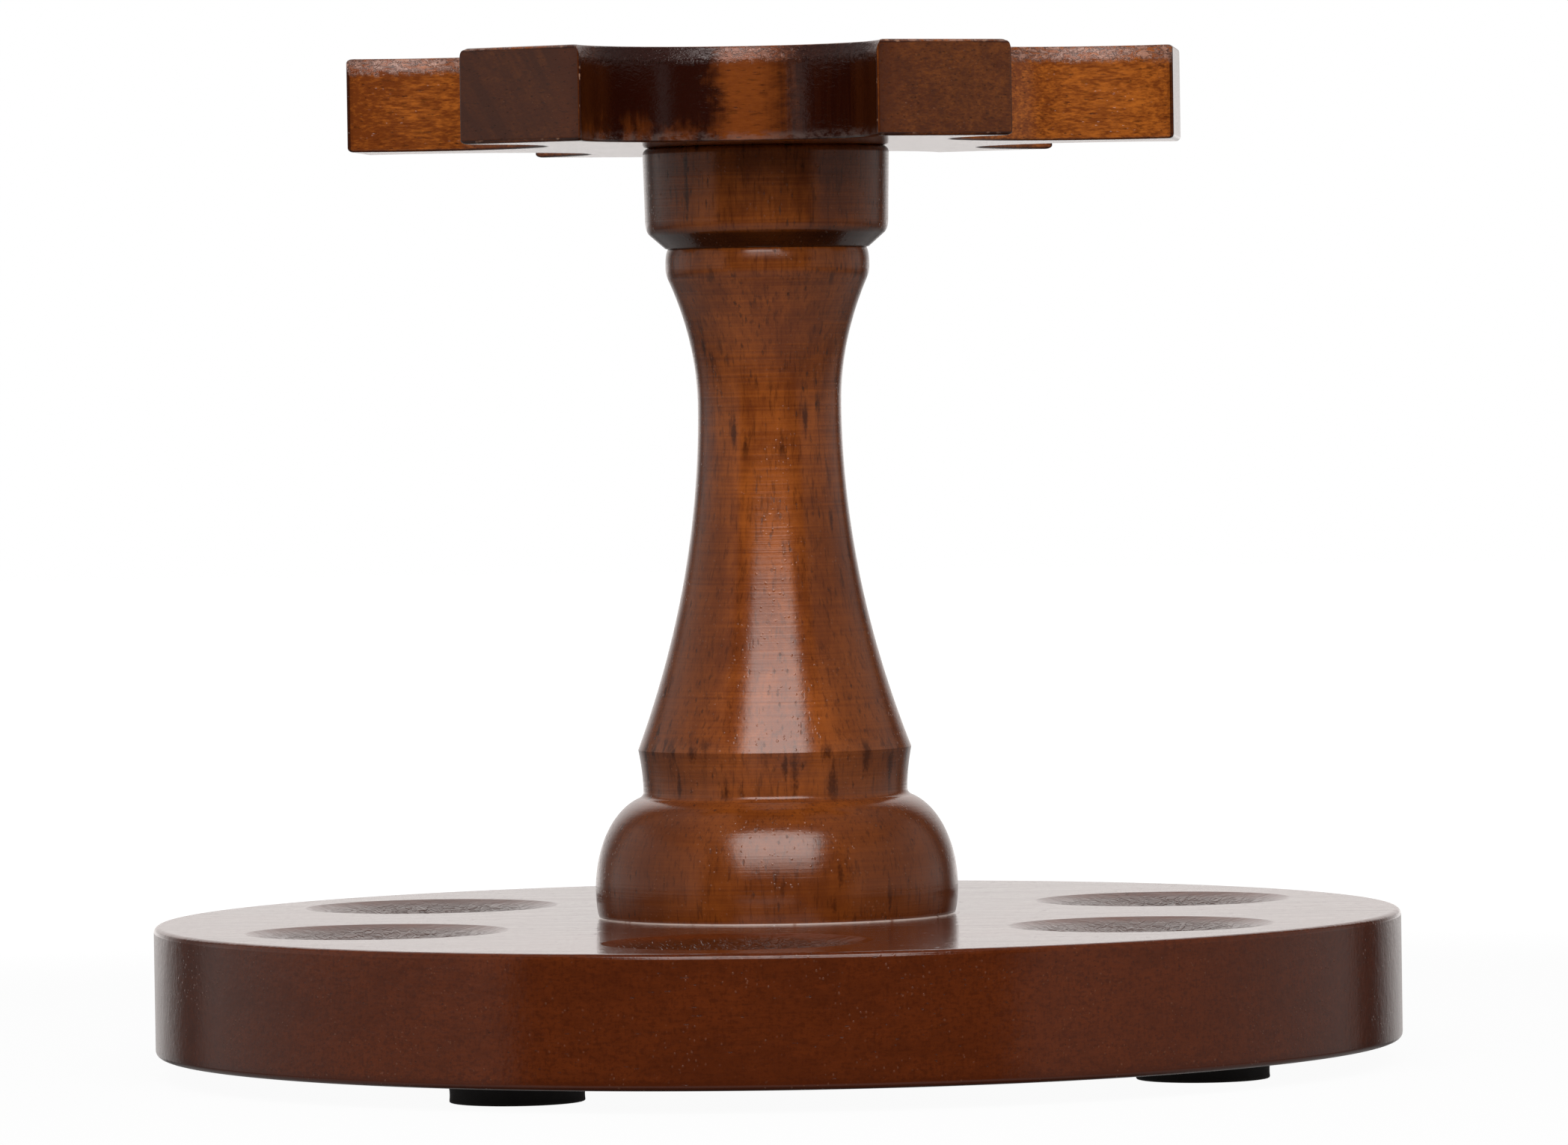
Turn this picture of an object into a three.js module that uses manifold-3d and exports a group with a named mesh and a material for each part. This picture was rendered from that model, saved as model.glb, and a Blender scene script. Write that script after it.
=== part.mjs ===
// A round pipe stand turned and sawn from stained hardwood, in millimetres, +Z up.
// The origin is the middle of the stand at table level, and pipes stand all round it.

import * as THREE from 'three';
import { mergeVertices } from 'three/addons/utils/BufferGeometryUtils.js';
import Module from 'manifold-3d';

const wasm = await Module();
wasm.setup();

// Each pipe has its bowl in a recess of the base and its stem in the notch above it.
const pipeCount = 6;
const firstPipeAngle = -90;

// Base: a turned disc with eased rims
const baseRadius = 82.5;
const baseThickness = 17.1;
const baseRimEase = 0.8;

// Recesses: shallow ball-shaped hollows that hold the bowls
const recessRadius = 17.2;
const recessDepth = 3.2;
const recessRimMargin = 7.9;

// Column: radii, and heights between its features
const columnHeight = 101.7;
const footTuck = 0.6;
const bulbRadius = 24;
const bulbWidestHeight = 3.2;
const bulbRise = 13;
const bulbShoulder = 1.5;
const neckRadius = 17.5;
const neckBandHeight = 6.2;
const arrisRadius = 18.1;
const waistRadius = 9.5;
const flareLength = 17.4;
const throatRadius = 13.5;
const throatHeight = 3.5;
const throatRound = 0.9;
const grooveHeight = 0.9;
const grooveDepth = 0.5;
const collarUndersideRise = 3.7;
const collarRadius = 16.1;
const collarSplay = 0.2;
const collarHeight = 13.3;
const collarTopEase = 0.9;

// Top plate: six arms with flat ends, and a half-round notch between each two
const plateReach = 54.5;
const plateThickness = 12.3;
const plateEdgeEase = 0.4;
const armEndWidth = 19.5;
const armCornerFlat = 0.6;

// Pads under the base, each held by a disc of adhesive
const padCount = 4;
const firstPadAngle = -116.25;
const padRadius = 8.8;
const padHeight = 2.6;
const padWaistPinch = 0.3;
const padFootTuck = 0.15;
const padRimMargin = 9.7;
const adhesiveThickness = 0.3;
const adhesiveInset = 0.4;

// Pin between the column and the plate, glued into blind bores
const pinRadius = 4;
const pinInColumn = 14;
const pinInPlate = 7.5;
const pinChamfer = 0.6;
const pinClearance = 0.3;

// Wood screw and washer that hold the column from below
const counterboreRadius = 8;
const counterboreDepth = 6.5;
const washerRadius = 7;
const washerThickness = 1.2;
const screwRadius = 2.5;
const screwLength = 50;
const screwHeadRadius = 4.8;
const screwHeadHeight = 3;
const screwClearance = 0.3;
const screwTipLength = 5;
const plainShankLength = 14;
const threadPitch = 3;
const threadDepth = 0.6;
const crossSlotLength = 5.4;
const crossSlotWidth = 1;
const crossSlotDepth = 1.6;

// Fineness of the round shapes
const baseSides = 96;
const columnSides = 48;
const recessSides = 32;
const padSides = 32;
const smallSides = 20;
const notchSteps = 16;

// Heights above the table
const baseBottom = padHeight + adhesiveThickness;
const baseTop = baseBottom + baseThickness;
const columnTop = baseTop + columnHeight;
const counterboreFloor = baseBottom + counterboreDepth;
const screwSeat = counterboreFloor - washerThickness;

// Distances from the axis
const recessPitchRadius = baseRadius - recessRimMargin - recessRadius;
const padPitchRadius = baseRadius - padRimMargin - padRadius;
const screwHoleRadius = screwRadius + screwClearance;

const radians = THREE.MathUtils.degToRad;
const point = (x, y) => new THREE.Vector2(x, y);

// Places around the axis: the angle of each copy in a ring of equal steps
function ringAngles(count, firstAngle) {
  return Array.from({ length: count }, (_, i) => radians(firstAngle + (360 / count) * i));
}

// The points of a curve without its first, which the run before it already has
function run(curve, steps) {
  return curve.getPoints(steps).slice(1);
}

function arc(centre, radiusAcross, radiusUp, from, to) {
  const clockwise = to < from;
  return new THREE.EllipseCurve(
    centre.x, centre.y, radiusAcross, radiusUp, radians(from), radians(to), clockwise);
}

// A turned body: the profile runs from the axis at the bottom, outside, to the axis at the top
function turned(profile, sides) {
  return new THREE.LatheGeometry(profile, sides).rotateX(Math.PI / 2);
}

function cylinderProfile(radius, bottom, top) {
  return [point(0, bottom), point(radius, bottom), point(radius, top), point(0, top)];
}

function toSolid(geometry) {
  const bare = geometry.clone();
  bare.deleteAttribute('normal');
  bare.deleteAttribute('uv');
  const merged = mergeVertices(bare, 1e-4);
  return new wasm.Manifold(new wasm.Mesh({
    numProp: 3,
    vertProperties: new Float32Array(merged.attributes.position.array),
    triVerts: new Uint32Array(merged.index.array),
  }));
}

function toGeometry(solid) {
  const mesh = solid.getMesh();
  const geometry = new THREE.BufferGeometry();
  geometry.setAttribute('position', new THREE.BufferAttribute(mesh.vertProperties, 3));
  geometry.setIndex(new THREE.BufferAttribute(mesh.triVerts, 1));
  geometry.computeVertexNormals();
  return geometry;
}

function cut(body, tools) {
  return toGeometry(tools.reduce((left, tool) => left.subtract(toSolid(tool)), toSolid(body)));
}

// Base: disc, recesses, clearance hole for the screw and a counterbore for its head
function baseGeometry() {
  const eased = baseRadius - baseRimEase;
  const disc = turned([
    point(0, baseBottom),
    point(eased, baseBottom),
    ...run(arc(point(eased, baseBottom + baseRimEase), baseRimEase, baseRimEase, -90, 0), 3),
    point(baseRadius, baseTop - baseRimEase),
    ...run(arc(point(eased, baseTop - baseRimEase), baseRimEase, baseRimEase, 0, 90), 3),
    point(0, baseTop),
  ], baseSides);
  const screwHole = turned(cylinderProfile(screwHoleRadius, baseBottom - 1, baseTop + 1), smallSides);
  const counterbore = turned(
    cylinderProfile(counterboreRadius, baseBottom - 1, counterboreFloor), padSides);
  return cut(disc, [...recessCutters(), screwHole, counterbore]);
}

// Ball-nosed cutters, each the part of a ball that dips below the top of the base
function recessCutters() {
  const ballRadius = (recessRadius ** 2 + recessDepth ** 2) / (2 * recessDepth);
  const lift = 1;
  const rimAngle = THREE.MathUtils.radToDeg(Math.asin((ballRadius - recessDepth - lift) / ballRadius));
  const bowl = arc(point(0, ballRadius - recessDepth), ballRadius, ballRadius, -90, -rimAngle);
  const cutter = turned([...bowl.getPoints(6), point(0, lift)], recessSides);
  return ringAngles(pipeCount, firstPipeAngle).map((angle) => cutter.clone().translate(
    recessPitchRadius * Math.cos(angle), recessPitchRadius * Math.sin(angle), baseTop));
}

// Column: bulb foot, neck band up to a sharp arris, waisted taper, throat, fine groove and collar
function columnProfile() {
  const bulbCentre = point(neckRadius - bulbShoulder, bulbWidestHeight);
  const bulbReach = bulbRadius - bulbCentre.x;
  const neckAngle = THREE.MathUtils.radToDeg(Math.acos(bulbShoulder / bulbReach));
  const bulb = arc(bulbCentre, bulbReach, bulbRise, 0, neckAngle);
  const neck = bulb.getPoint(1);
  const arris = point(arrisRadius, neck.y + neckBandHeight);
  const collarBottom = columnHeight - collarHeight;
  const throat = point(throatRadius, collarBottom - throatHeight);
  const waist = point(waistRadius, throat.y - flareLength);
  const roundStart = point(throatRadius - throatRound / 2, throat.y - throatRound);
  const roundEnd = point(throatRadius, throat.y + throatRound);
  const grooveStart = point(throatRadius, collarBottom - grooveHeight);
  const grooveCentre = point(throatRadius - grooveDepth, grooveStart.y);
  const undersideCentre = point(throatRadius, collarBottom + collarUndersideRise);
  const collarUnderside = arc(
    undersideCentre, collarRadius - throatRadius, collarUndersideRise, -90, 0);
  const shoulder = point(collarRadius + collarSplay, columnHeight - collarTopEase);
  return [
    point(0, 0),
    point(bulbRadius - footTuck, 0),
    ...run(arc(point(bulbRadius - footTuck, bulbWidestHeight), footTuck, bulbWidestHeight, -90, 0), 3),
    ...run(bulb, 8),
    ...run(hollow(neck, arris, neck), 3),
    ...run(hollow(arris, waist, waist), 9),
    ...run(hollow(waist, roundStart, waist), 6),
    ...run(new THREE.QuadraticBezierCurve(roundStart, throat, roundEnd), 3),
    grooveStart,
    ...run(arc(grooveCentre, grooveDepth, grooveHeight, 0, 75), 3),
    point(throatRadius, collarBottom),
    ...run(collarUnderside, 5),
    shoulder,
    ...run(arc(point(shoulder.x - collarTopEase, shoulder.y), collarTopEase, collarTopEase, 0, 90), 3),
    point(0, columnHeight),
  ];
}

// A parabola between two points of the profile, upright at one of them
function hollow(from, to, upright) {
  const bend = point(upright.x, (from.y + to.y) / 2);
  return new THREE.QuadraticBezierCurve(from, bend, to);
}

function columnGeometry() {
  const spindle = turned(columnProfile(), columnSides);
  const screwDepth = screwSeat + screwLength - baseTop;
  const screwHole = turned(cylinderProfile(screwHoleRadius, -1, screwDepth + screwClearance), smallSides);
  const pinBore = turned(
    cylinderProfile(pinRadius + pinClearance, columnHeight - pinInColumn - pinClearance, columnHeight + 1),
    smallSides);
  return cut(spindle, [screwHole, pinBore]);
}

// Outline of the top plate: the last point of each arm's flat end, then the half-round notch, then
// the first point of the next arm's end. A narrow flat takes the sharpness off each corner.
function plateOutline() {
  const halfStep = Math.PI / pipeCount;
  const halfEnd = armEndWidth / 2;
  const notchCentreReach = plateReach * Math.cos(halfStep) + halfEnd * Math.sin(halfStep);
  const notchRadius = plateReach * Math.sin(halfStep) - halfEnd * Math.cos(halfStep);
  const trim = THREE.MathUtils.radToDeg(armCornerFlat / notchRadius);
  const notch = arc(point(notchCentreReach, 0), notchRadius, notchRadius, -90 - trim, -270 + trim);
  const turn = (p, by) => p.clone().rotateAround(point(0, 0), by);
  return ringAngles(pipeCount, firstPipeAngle).flatMap((angle) => [
    turn(point(plateReach, halfEnd - armCornerFlat), angle - halfStep),
    ...notch.getPoints(notchSteps).map((p) => turn(p, angle)),
    turn(point(plateReach, armCornerFlat - halfEnd), angle + halfStep),
  ]);
}

function plateGeometry() {
  const board = new THREE.ExtrudeGeometry(new THREE.Shape(plateOutline()), {
    depth: plateThickness - 2 * plateEdgeEase,
    bevelEnabled: true,
    bevelThickness: plateEdgeEase,
    bevelSize: plateEdgeEase,
    bevelOffset: -plateEdgeEase,
    bevelSegments: 1,
  }).translate(0, 0, plateEdgeEase);
  const pinBore = turned(
    cylinderProfile(pinRadius + pinClearance, -1, pinInPlate + pinClearance), smallSides);
  return cut(board, [pinBore]);
}

// Pin: a length of plain rod with chamfered ends
function pinGeometry() {
  return turned([
    point(0, -pinInColumn),
    point(pinRadius - pinChamfer, -pinInColumn),
    point(pinRadius, pinChamfer - pinInColumn),
    point(pinRadius, pinInPlate - pinChamfer),
    point(pinRadius - pinChamfer, pinInPlate),
    point(0, pinInPlate),
  ], smallSides);
}

// Wood screw: low round head with a cross slot, plain shank, ridged thread and a point
function screwGeometry() {
  const rootRadius = screwRadius - threadDepth;
  const threadEnd = screwLength - screwTipLength;
  const turns = Math.floor((threadEnd - plainShankLength) / threadPitch);
  const ridges = Array.from({ length: turns }, (_, i) => threadEnd - threadPitch * (turns - i));
  const body = turned([
    point(0, -screwHeadHeight),
    ...run(arc(point(0, 0), screwHeadRadius, screwHeadHeight, -90, 0), 5),
    point(screwRadius, 0),
    point(screwRadius, plainShankLength - threadPitch / 2),
    ...ridges.flatMap((height) => [
      point(rootRadius, height), point(screwRadius, height + threadPitch / 2)]),
    point(rootRadius, threadEnd),
    point(0, screwLength),
  ], smallSides);
  const slot = (width, length) => new THREE.BoxGeometry(width, length, 2 * crossSlotDepth)
    .translate(0, 0, -screwHeadHeight);
  return cut(body, [slot(crossSlotWidth, crossSlotLength), slot(crossSlotLength, crossSlotWidth)]);
}

function washerGeometry() {
  const hole = turned(cylinderProfile(screwHoleRadius, -1, washerThickness + 1), smallSides);
  return cut(turned(cylinderProfile(washerRadius, 0, washerThickness), padSides), [hole]);
}

// Pad: a disc of soft rubber, pinched a little below its glued face
function padGeometry() {
  const foot = point(padRadius - padFootTuck, 0);
  const pinch = point(padRadius - padWaistPinch, padHeight / 2);
  const side = new THREE.QuadraticBezierCurve(foot, pinch, point(padRadius, padHeight));
  return turned([point(0, 0), ...side.getPoints(3), point(0, padHeight)], padSides);
}

function adhesiveGeometry() {
  return turned(cylinderProfile(padRadius - adhesiveInset, 0, adhesiveThickness), padSides);
}

const stand = new THREE.Group();

function add(name, geometry, finish, x, y, z) {
  const mesh = new THREE.Mesh(geometry, new THREE.MeshStandardMaterial(finish));
  mesh.name = name;
  mesh.position.set(x, y, z);
  stand.add(mesh);
}

const lacqueredBase = { color: 0x5a2a18, roughness: 0.25, metalness: 0 };
const lacqueredColumn = { color: 0x703412, roughness: 0.25, metalness: 0 };
const lacqueredPlate = { color: 0x7c3f16, roughness: 0.25, metalness: 0 };
const bareWood = { color: 0xc9a87c, roughness: 0.7, metalness: 0 };
const zincedSteel = { color: 0xb4b4ae, roughness: 0.35, metalness: 1 };
const blackRubber = { color: 0x14100e, roughness: 0.8, metalness: 0 };
const clearAdhesive = { color: 0x8d8a80, roughness: 0.5, metalness: 0 };

add('base_disc', baseGeometry(), lacqueredBase, 0, 0, 0);
add('column', columnGeometry(), lacqueredColumn, 0, 0, baseTop);
add('top_plate', plateGeometry(), lacqueredPlate, 0, 0, columnTop);
add('plate_dowel', pinGeometry(), bareWood, 0, 0, columnTop);
add('column_screw', screwGeometry(), zincedSteel, 0, 0, screwSeat);
add('column_screw_washer', washerGeometry(), zincedSteel, 0, 0, screwSeat);

ringAngles(padCount, firstPadAngle).forEach((angle, i) => {
  const x = padPitchRadius * Math.cos(angle);
  const y = padPitchRadius * Math.sin(angle);
  add(`foot_pad_${i + 1}`, padGeometry(), blackRubber, x, y, 0);
  add(`foot_adhesive_${i + 1}`, adhesiveGeometry(), clearAdhesive, x, y, padHeight);
});

export default stand;
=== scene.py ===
import math

import bpy
from mathutils import Matrix, Vector


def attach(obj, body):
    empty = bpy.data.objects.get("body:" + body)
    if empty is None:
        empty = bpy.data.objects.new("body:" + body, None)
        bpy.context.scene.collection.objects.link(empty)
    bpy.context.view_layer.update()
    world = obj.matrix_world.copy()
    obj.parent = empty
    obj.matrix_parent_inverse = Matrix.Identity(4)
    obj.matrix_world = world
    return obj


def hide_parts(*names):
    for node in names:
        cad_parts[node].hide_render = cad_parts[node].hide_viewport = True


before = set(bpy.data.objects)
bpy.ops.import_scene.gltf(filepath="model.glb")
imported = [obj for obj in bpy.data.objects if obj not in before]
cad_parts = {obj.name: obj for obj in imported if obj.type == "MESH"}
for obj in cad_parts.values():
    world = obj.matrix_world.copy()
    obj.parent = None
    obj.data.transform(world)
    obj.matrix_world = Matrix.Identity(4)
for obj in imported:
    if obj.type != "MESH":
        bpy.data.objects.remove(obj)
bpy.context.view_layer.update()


# Base disc. One round board of stained hardwood, turned true, with both rims eased.
# Six ball-shaped recesses are cut round its top, and a counterbore below takes the column's screw.
# The lacquer is sprayed on: thin and even outside, and pooled thick enough to wrinkle in the recesses.
base_radius = 0.0825
base_bottom = 0.0029
base_top = 0.0200
base_rim_ease = 0.0008
recess_count = 6
first_recess_angle = -90
recess_radius = 0.0172
recess_depth = 0.0032
recess_lip = 0.0009
recess_margin = 0.0008
recess_ring_radius = 0.0574
counterbore_radius = 0.0080
counterbore_floor = 0.0094
screw_hole_radius = 0.0028
weld_distance = 2e-6

base_heart = (0.100, 0.0190, 0.0036, 1)
base_sap = (0.068, 0.0128, 0.0028, 1)
base_end_grain = (0.052, 0.0095, 0.0022, 1)
# This brown darkens pores and fibres, and also paints shade in the base's recesses and under the collar.
pore_and_shade_brown = (0.014, 0.0040, 0.0015, 1)
# This pale colour is dust on nibs, and also paints highlights and sheen on the base and the column.
dust_and_sheen_pale = (0.300, 0.1500, 0.0900, 1)


class Skin:
    """The faces of one repeat of a piece. Patches that meet are welded when the repeats are."""

    def __init__(self):
        self.points = []
        self.faces = []

    def strip(self, rows):
        """Four-sided faces between rows of points. Outside is on the left hand, going down the rows."""
        width = len(rows[0])
        first = len(self.points)
        for row in rows:
            self.points.extend(row)
        for i in range(len(rows) - 1):
            for j in range(width - 1):
                a = first + i * width + j
                self.faces.append((a, a + width, a + width + 1, a + 1))

    def flat(self, outline):
        """One flat face, with its outline running anticlockwise as seen from outside."""
        first = len(self.points)
        self.points.extend(outline)
        self.faces.append(tuple(range(first, first + len(outline))))

    def mesh(self, name):
        made = bpy.data.meshes.new(name)
        made.from_pydata(self.points, [], self.faces)
        return made


class Wire:
    """A socket in a tree of nodes. Sums written with wires add Math nodes to the tree."""

    def __init__(self, tree, socket=None):
        self.tree = tree
        self.socket = socket

    def node(self, kind, settings, sockets, output=0):
        """Any node: its settings, then what its sockets hold or are linked to."""
        made = self.tree.nodes.new(kind)
        for name, value in settings.items():
            setattr(made, name, value)
        for name, value in sockets.items():
            if isinstance(value, Wire):
                self.tree.links.new(value.socket, made.inputs[name])
            else:
                made.inputs[name].default_value = value
        return Wire(self.tree, made.outputs[output] if made.outputs else None)

    def math(self, operation, *values):
        return self.node("ShaderNodeMath", {"operation": operation}, dict(enumerate(values)))

    def __add__(self, other):
        return self.math("ADD", self, other)

    __radd__ = __add__

    def __sub__(self, other):
        return self.math("SUBTRACT", self, other)

    def __rsub__(self, other):
        return self.math("SUBTRACT", other, self)

    def __mul__(self, other):
        return self.math("MULTIPLY", self, other)

    __rmul__ = __mul__

    def __truediv__(self, other):
        return self.math("DIVIDE", self, other)

    def __rtruediv__(self, other):
        return self.math("DIVIDE", other, self)

    def larger(self, other):
        return self.math("MAXIMUM", self, other)

    def size(self):
        return self.math("ABSOLUTE", self)

    def fade(self, start, end):
        """0 at start and 1 at end, with a soft ramp between them."""
        return self.node("ShaderNodeMapRange", {"interpolation_type": "SMOOTHSTEP"},
                         {"Value": self, "From Min": start, "From Max": end})

    def vector(self, operation, *others, output="Vector"):
        """Vector Math on a place or a direction. A length or a share is its output Value."""
        values = dict(enumerate((self, *others)))
        return self.node("ShaderNodeVectorMath", {"operation": operation}, values, output)

    def scaled(self, by):
        """A place, with each of its three directions scaled."""
        return self.vector("MULTIPLY", by)

    def along(self, way):
        """How much of this direction runs along another one."""
        return self.vector("DOT_PRODUCT", way, output="Value")

    def noise(self, by, detail=2, roughness=0.5, distortion=0):
        """Cloudy noise over a place, about 0.5. by is how many clouds there are in a millimetre."""
        return self.node("ShaderNodeTexNoise", {}, {
            "Vector": self.scaled(by), "Scale": 1, "Detail": detail, "Roughness": roughness,
            "Distortion": distortion})

    def grains(self, by, size, shape="EUCLIDEAN"):
        """Scattered grains over a place: 1 in the middle of each, 0 beyond size of its cell."""
        cells = self.node("ShaderNodeTexVoronoi", {"distance": shape}, {
            "Vector": self.scaled(by), "Scale": 1})
        ragged = cells + (self.noise((3.2, 3.2, 2.0), detail=1) - 0.5) * 0.35
        return ragged.fade(size, size * 0.25)

    def tint(self, other, share):
        """This colour, with a share of another mixed in."""
        return self.node("ShaderNodeMix", {"data_type": "RGBA"}, {0: share, 6: self, 7: other}, 2)

    def colour(self, value):
        """A plain colour, to be tinted."""
        return self.node("ShaderNodeMix", {"data_type": "RGBA"}, {0: 0, 6: value, 7: value}, 2)


def finish_nodes(name):
    """An empty material, and a wire to write its nodes with."""
    material = bpy.data.materials.new(name)
    material.use_nodes = True
    material.node_tree.nodes.clear()
    return material, Wire(material.node_tree)


def place_in_mm(nodes):
    """The place on the piece, in millimetres from the middle of the stand at table level."""
    place = nodes.node("ShaderNodeTexCoord", {}, {}, "Object")
    return place.scaled((1000, 1000, 1000))


def facing_way(nodes):
    """The direction that the surface faces, before any relief."""
    return nodes.node("ShaderNodeTexCoord", {}, {}, "Normal")


def axis_of(place, axis):
    return place.node("ShaderNodeSeparateXYZ", {}, {0: place}, axis)


def lacquered(nodes, colour, roughness, height):
    """Clear lacquer over stained wood. height is its relief, in thousandths of a millimetre."""
    relief = nodes.node("ShaderNodeBump", {}, {"Strength": 1, "Distance": 1e-6, "Height": height})
    surface = nodes.node("ShaderNodeBsdfPrincipled", {}, {
        "Base Color": colour, "Roughness": roughness, "IOR": 1.5, "Normal": relief})
    nodes.node("ShaderNodeOutputMaterial", {}, {"Surface": surface})


def put_in_scene(name, held):
    """An object at the origin that holds this mesh, lamp or lens."""
    made = bpy.data.objects.new(name, held)
    bpy.context.scene.collection.objects.link(made)
    return made


def ring_of_copies(repeat, name, count, first_angle, crease, material):
    """Copies of one repeat, set round the axis at equal steps, welded, and made one plain mesh.
    Edges that turn by more than crease degrees stay sharp."""
    tree = bpy.data.node_groups.new(name + "_ring", "GeometryNodeTree")
    tree.is_modifier = True
    face = tree.interface
    face.new_socket("Repeat", in_out="INPUT", socket_type="NodeSocketGeometry")
    sizes = {}
    for label, kind, value in [("Count", "Int", count), ("First Angle", "Float", math.radians(first_angle)),
                               ("Weld Distance", "Float", weld_distance),
                               ("Crease", "Float", math.radians(crease)), ("Finish", "Material", material)]:
        socket = face.new_socket(label, in_out="INPUT", socket_type="NodeSocket" + kind)
        sizes[socket.identifier] = value
    face.new_socket("Ring", in_out="OUTPUT", socket_type="NodeSocketGeometry")
    nodes = Wire(tree)
    given = {label: nodes.node("NodeGroupInput", {}, {}, label)
             for label in ("Repeat", "Count", "First Angle", "Weld Distance", "Crease", "Finish")}
    step = 2 * math.pi / given["Count"]
    turn = nodes.node("ShaderNodeCombineXYZ", {}, {
        "Z": nodes.node("GeometryNodeInputIndex", {}, {}) * step + given["First Angle"]})
    places = nodes.node("GeometryNodePoints", {}, {"Count": given["Count"], "Position": (0, 0, 0)})
    copies = nodes.node("GeometryNodeInstanceOnPoints", {}, {
        "Points": places, "Instance": given["Repeat"], "Rotation": turn})
    real = nodes.node("GeometryNodeRealizeInstances", {}, {"Geometry": copies})
    welded = nodes.node("GeometryNodeMergeByDistance", {}, {
        "Geometry": real, "Distance": given["Weld Distance"]})
    smooth = nodes.node("GeometryNodeSetShadeSmooth", {"domain": "FACE"}, {
        "Geometry": welded, "Shade Smooth": True})
    sharp = nodes.math("GREATER_THAN", nodes.node("GeometryNodeInputMeshEdgeAngle", {}, {}), given["Crease"])
    creased = nodes.node("GeometryNodeSetShadeSmooth", {"domain": "EDGE"}, {
        "Geometry": smooth, "Selection": sharp, "Shade Smooth": False})
    finished = nodes.node("GeometryNodeSetMaterial", {}, {
        "Geometry": creased, "Material": given["Finish"]})
    nodes.node("NodeGroupOutput", {}, {"Ring": finished})

    pattern = put_in_scene(name + "_pattern", repeat)
    ring = pattern.modifiers.new("ring", "NODES")
    ring.node_group = tree
    for identifier, value in sizes.items():
        ring[identifier] = value
    shading = pattern.modifiers.new("shading", "WEIGHTED_NORMAL")
    shading.keep_sharp = True
    ready = pattern.evaluated_get(bpy.context.evaluated_depsgraph_get())
    whole = bpy.data.meshes.new_from_object(ready)
    whole.name = name
    bpy.data.objects.remove(pattern)
    return put_in_scene(name, whole)


def polar(radius, angle, height):
    return (radius * math.cos(angle), radius * math.sin(angle), height)


def quarter_round(ease, steps):
    """How far an eased edge lies in from its side, and down from its top, going from side to top."""
    turns = [math.radians(90 * i / steps) for i in range(steps + 1)]
    return [(ease * (1 - math.cos(t)), ease * (1 - math.sin(t))) for t in turns]


def recess_section():
    """Distance from the recess's own middle, and height, from its bottom out over the rounded lip."""
    ball = (recess_radius ** 2 + recess_depth ** 2) / (2 * recess_depth)
    ball_height = base_top - recess_depth + ball
    rise = ball_height - base_top
    lip_middle = math.sqrt((ball + recess_lip) ** 2 - (rise + recess_lip) ** 2)
    opening = math.asin(lip_middle / (ball + recess_lip))
    ball_steps, lip_steps = 20, 6
    section = []
    for i in range(ball_steps + 1):
        t = opening * i / ball_steps
        section.append((ball * math.sin(t), ball_height - ball * math.cos(t)))
    for i in range(1, lip_steps + 1):
        t = opening * (1 - i / lip_steps)
        section.append((lip_middle - recess_lip * math.sin(t), base_top - recess_lip * (1 - math.cos(t))))
    return section


def base_sixth():
    """A sixth of the disc, with one recess in the middle of it."""
    half = math.pi / recess_count
    rim = base_radius - base_rim_ease
    side_steps = 24

    def arc(steps):
        return [-half + 2 * half * i / steps for i in range(steps + 1)]

    around, bore, hole = arc(32), arc(12), arc(4)
    outer = [polar(rim, a, base_top) for a in around]
    inner = [polar(screw_hole_radius, a, base_top) for a in reversed(hole)]
    start = math.atan2(outer[-1][1], outer[-1][0] - recess_ring_radius)
    end = math.atan2(inner[0][1], inner[0][0] - recess_ring_radius)
    side = []
    for i in range(1, side_steps):
        t = start + (end - start) * i / side_steps
        side.append(polar(recess_ring_radius * math.sin(t) / math.sin(t - half), half, base_top))
    mirrored = [(x, -y, z) for x, y, z in reversed(side)]
    edge = outer + side + inner + mirrored + outer[:1]
    section = recess_section()
    rows = [[] for _ in section] + [[], []]
    lip_radius = section[-1][0]
    for x, y, z in edge:
        away = Vector((x - recess_ring_radius, y))
        reach = away.length
        away.normalize()
        sheet = [(lip_radius + recess_margin, base_top), (reach, base_top)]
        for row, (distance, height) in zip(rows, section + sheet):
            row.append((recess_ring_radius + away.x * distance, away.y * distance, height))
    skin = Skin()
    skin.strip(rows)

    ease = quarter_round(base_rim_ease, 6)
    rounds = [(rim + base_rim_ease - i, base_top - d) for i, d in reversed(ease)]
    rounds += [(rim + base_rim_ease - i, base_bottom + d) for i, d in ease]
    skin.strip([[polar(r, a, h) for a in around] for r, h in rounds])
    skin.flat([polar(rim, a, base_bottom) for a in reversed(around)]
              + [polar(counterbore_radius, a, base_bottom) for a in bore])
    skin.strip([[polar(counterbore_radius, a, h) for a in bore] for h in (base_bottom, counterbore_floor)])
    skin.flat([polar(counterbore_radius, a, counterbore_floor) for a in reversed(bore)]
              + [polar(screw_hole_radius, a, counterbore_floor) for a in hole])
    skin.strip([[polar(screw_hole_radius, a, h) for a in hole] for h in (counterbore_floor, base_top)])
    return skin.mesh("base_sixth")


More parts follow.
